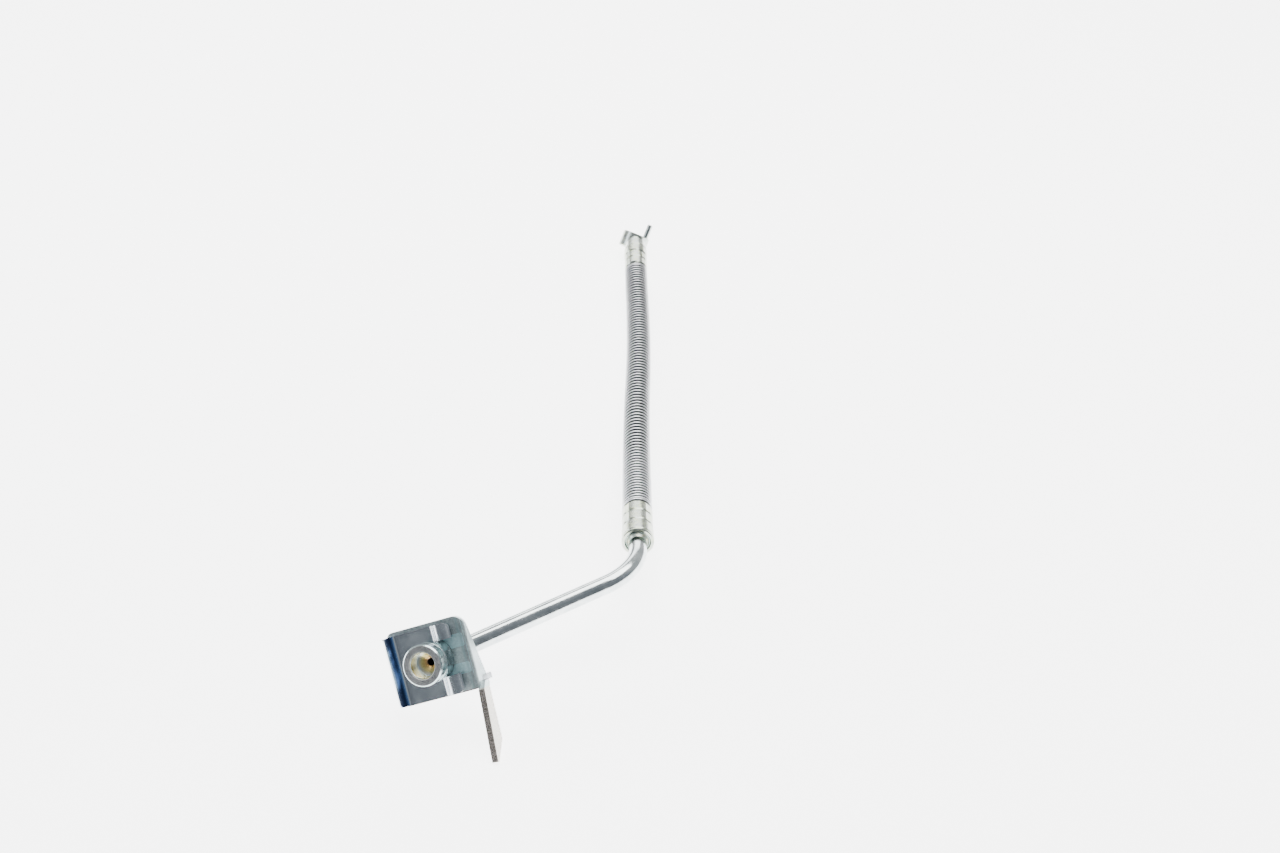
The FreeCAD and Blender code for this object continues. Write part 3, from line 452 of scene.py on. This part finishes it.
MATS = {
    "end_fitting": fm.m,
    "fitting_braze_ring": brazed("fitting_braze"),
    "nipple_braze_ring": brazed("nipple_braze"),
    "banjo_braze_ring": brazed("banjo_braze"),
    "retaining_clip": clip_steel("clip_polish"),
    "bracket": bracket_zinc("bracket_galvanised"),
    "steel_tube": drawn_metal("tube_plating", (0.74, 0.78, 0.78), (0.46, 0.51, 0.52), TUBE_DIR, CROSS,
                              rough=(0.08, 0.22), scratch=0.3),
    "near_nipple": turned_metal("near_nipple_plating", (0.72, 0.80, 0.78), (0.42, 0.50, 0.50), H0, NEAR),
    "far_nipple": turned_metal("far_nipple_plating", (0.72, 0.80, 0.78), (0.42, 0.50, 0.50), HF, FAR),
    "near_ferrule": turned_metal("near_ferrule_plating", (0.54, 0.57, 0.51), (0.30, 0.33, 0.29), H0, NEAR,
                                 rough=(0.16, 0.32), tint=(0.56, 0.62, 0.36)),
    "far_ferrule": turned_metal("far_ferrule_plating", (0.54, 0.57, 0.51), (0.30, 0.33, 0.29), HF, FAR,
                                rough=(0.16, 0.32), tint=(0.56, 0.62, 0.36)),
    "banjo_body": turned_metal("banjo_plating", (0.56, 0.60, 0.57), (0.30, 0.34, 0.33), N_DIR, B0,
                               rough=(0.18, 0.34), tint=(0.60, 0.62, 0.42)),
    "locating_pin": turned_metal("pin_plating", (0.60, 0.64, 0.62), (0.34, 0.38, 0.37), N_DIR, B0),
    "hose_inner_tube": rubber("liner_rubber"),
    "hose_cushion_layer": rubber("cushion_rubber"),
    "hose_cover": rubber("cover_rubber_plain"),
    "hose_inner_braid": braid("inner_braid_yarn", Vector((0, 1, 0))),
    "hose_outer_braid": braid("outer_braid_yarn", Vector((0, 1, 0))),
    "spring_guard": coiled_wire("guard_plain"),
}
for name, mat in MATS.items():
    o = nodes[name]
    if not o.material_slots:
        o.data.materials.append(mat)
    for s in o.material_slots:
        s.material = mat

# ------------------------------------------------------------------ hose cover, on one smooth curve
cu = bpy.data.curves.new("hose_line", "CURVE")
cu.dimensions = "3D"
cu.resolution_u = 40
sp = cu.splines.new("NURBS")
sp.points.add(len(ROUTE) - 1)
for p, c in zip(sp.points, ROUTE):
    p.co = (c.x, c.y, c.z, 1.0)
sp.order_u = 3
sp.use_endpoint_u = True
sp.resolution_u = 40
cover = bpy.data.objects.new("hose_cover_rubber", cu)
bpy.context.scene.collection.objects.link(cover)

line_mesh = bpy.data.meshes.new_from_object(cover)
line = [v.co.copy() for v in line_mesh.vertices]
bpy.data.meshes.remove(line_mesh)
if (line[0] - ROUTE[0]).length > (line[-1] - ROUTE[0]).length:
    line.reverse()

cu.bevel_depth = 5.25 * MM
cu.bevel_resolution = 10
cu.use_fill_caps = True
cu.materials.append(rubber("cover_rubber"))

# the line's own lengths
steps = [0.0]
for a, b in zip(line, line[1:]):
    steps.append(steps[-1] + (b - a).length)
LENGTH = steps[-1]


def at(s):
    """Point and direction of the hose's line at length s."""
    s = min(max(s, 0.0), LENGTH)
    lo, hi = 0, len(steps) - 1
    while hi - lo > 1:
        mid = (lo + hi) // 2
        if steps[mid] <= s:
            lo = mid
        else:
            hi = mid
    f = (s - steps[lo]) / max(steps[hi] - steps[lo], 1e-9)
    p = line[lo].lerp(line[hi], f)
    i0, i1 = max(lo - 1, 0), min(hi + 1, len(line) - 1)
    return p, (line[i1] - line[i0]).normalized()


def mesh_object(name, verts, faces, mat, smooth=True):
    me = bpy.data.meshes.new(name)
    me.from_pydata([tuple(v) for v in verts], [], faces)
    me.update()
    me.materials.append(mat)
    for p in me.polygons:
        p.use_smooth = smooth
    o = bpy.data.objects.new(name, me)
    bpy.context.scene.collection.objects.link(o)
    return o


# ------------------------------------------------------------------ spring guard: a right-handed coil
WIRE = 0.65 * MM
MEAN = (7.0 - 0.65) * MM
s0 = (GUARD_START - HOSE_START).length + WIRE
s1 = LENGTH - 15.02 * MM - WIRE
PITCHES = ((17.5, 2.30), (31.0, 2.33), (46.0, 2.47), (61.0, 2.75), (79.0, 3.05), (97.0, 3.05),
           (115.0, 2.93), (132.0, 2.74), (165.0, 2.72), (181.0, 2.67), (197.0, 2.61), (212.0, 2.55),
           (250.0, 2.50))
CLOSED = 1.37 * MM


def open_pitch(s):
    """The guard is wound a little wider where the hose levels out."""
    t = s / MM
    if t <= PITCHES[0][0]:
        return PITCHES[0][1] * MM
    for (a, p), (b, r) in zip(PITCHES, PITCHES[1:]):
        if t <= b:
            return (p + (r - p) * (t - a) / (b - a)) * MM
    return PITCHES[-1][1] * MM


def pitch_at(s):
    """Tighter turns at both ends, where the coil is closed."""
    d = min(s - s0, s1 - s)
    k = min(max((d - 1.6 * MM) / (2.0 * MM), 0.0), 1.0)
    k = k * k * (3 - 2 * k)
    return CLOSED + (open_pitch(s) - CLOSED) * k


PER = 28
SIDES = 14
centres = []
s, th = s0, 0.6
while s <= s1:
    centres.append((s, th))
    th += 2.0 * math.pi / PER
    s += pitch_at(s) / PER
pts = []
for s, th in centres:
    p, t = at(s)
    u = Vector((1, 0, 0))
    u = (u - t * u.dot(t)).normalized()
    w = t.cross(u)
    radial = u * math.cos(th) + w * math.sin(th)
    pts.append((p + radial * MEAN, radial))
verts, faces = [], []
for i, (c, radial) in enumerate(pts):
    a = pts[max(i - 1, 0)][0]
    b = pts[min(i + 1, len(pts) - 1)][0]
    tan = (b - a).normalized()
    x = (radial - tan * radial.dot(tan)).normalized()
    y = tan.cross(x)
    for k in range(SIDES):
        ang = 2.0 * math.pi * k / SIDES
        verts.append(c + (x * math.cos(ang) + y * math.sin(ang)) * WIRE)
for i in range(len(pts) - 1):
    for k in range(SIDES):
        k2 = (k + 1) % SIDES
        faces.append((i * SIDES + k, i * SIDES + k2, (i + 1) * SIDES + k2, (i + 1) * SIDES + k))
faces.append(tuple(range(SIDES))[::-1])
faces.append(tuple((len(pts) - 1) * SIDES + k for k in range(SIDES)))
coil = mesh_object("spring_guard_coil", verts, faces, coiled_wire("guard_wire_steel"))

# ------------------------------------------------------------------ what each piece stands for
for piece, node, mat_slot in ((cover, "hose_cover", "hose_rubber"), (coil, "spring_guard", "guard_wire")):
    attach(piece, "hose_assembly")
    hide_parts(node)

# ------------------------------------------------------------------ studio
fl = Mat("floor_paper")
fl_c = fl.noise(3.0, 3.0, 0.5)
fl.color(fl.ramp(fl_c, [(0.3, (0.93, 0.93, 0.93)), (0.7, (0.95, 0.95, 0.95))]))
fl.rough(0.9)
fl.b.inputs["Specular IOR Level"].default_value = 0.05
fl.b.inputs["Emission Color"].default_value = (1.0, 1.0, 1.0, 1.0)
fl.b.inputs["Emission Strength"].default_value = 4.6
floor = mesh_object("floor", [Vector((-6, -6, 0)), Vector((6, -6, 0)), Vector((6, 6, 0)), Vector((-6, 6, 0))],
                    [(0, 1, 2, 3)], fl.m, smooth=False)
floor.location.z = min(0.0, before[0][2]) - 0.0001

world = bpy.data.worlds.new("studio")
bpy.context.scene.world = world
world.use_nodes = True
wt = world.node_tree
wt.nodes.clear()
wo = wt.nodes.new("ShaderNodeOutputWorld")
bg = wt.nodes.new("ShaderNodeBackground")
wt.links.new(bg.outputs[0], wo.inputs[0])
tc = wt.nodes.new("ShaderNodeTexCoord")
sep = wt.nodes.new("ShaderNodeSeparateXYZ")
wt.links.new(tc.outputs["Generated"], sep.inputs[0])
rp = wt.nodes.new("ShaderNodeValToRGB")
el = rp.color_ramp.elements
el[0].position, el[0].color = 0.0, (0.24, 0.26, 0.28, 1)
el[1].position, el[1].color = 1.0, (1.0, 1.0, 1.0, 1)
e = el.new(0.35)
e.color = (0.34, 0.37, 0.41, 1)
e = el.new(0.6)
e.color = (0.75, 0.78, 0.80, 1)
mp = wt.nodes.new("ShaderNodeMapRange")
mp.inputs["From Min"].default_value = -1.0
mp.inputs["From Max"].default_value = 1.0
wt.links.new(sep.outputs["Y"], mp.inputs["Value"])
wt.links.new(mp.outputs[0], rp.inputs[0])
wt.links.new(rp.outputs[0], bg.inputs["Color"])
bg.inputs["Strength"].default_value = 0.9


def area(name, loc, target, size, size_y, power, color=(1, 1, 1)):
    ld = bpy.data.lights.new(name, "AREA")
    ld.shape = "RECTANGLE"
    ld.size = size
    ld.size_y = size_y
    ld.energy = power
    ld.color = color
    o = bpy.data.objects.new(name, ld)
    bpy.context.scene.collection.objects.link(o)
    o.location = loc
    o.rotation_euler = (Vector(target) - Vector(loc)).to_track_quat("-Z", "Y").to_euler()
    return o


area("key_top", (0.15, 0.25, 1.3), (0, 0, 0), 1.3, 0.9, 26.0, (1.0, 0.99, 0.97))
area("back_strip", (-0.2, 1.5, 0.9), (0, 0, 0), 1.6, 0.5, 12.0, (1.0, 1.0, 1.0))
area("side_left", (-1.3, -0.1, 0.7), (0, 0, 0), 0.6, 0.6, 7.0, (0.90, 0.95, 1.0))
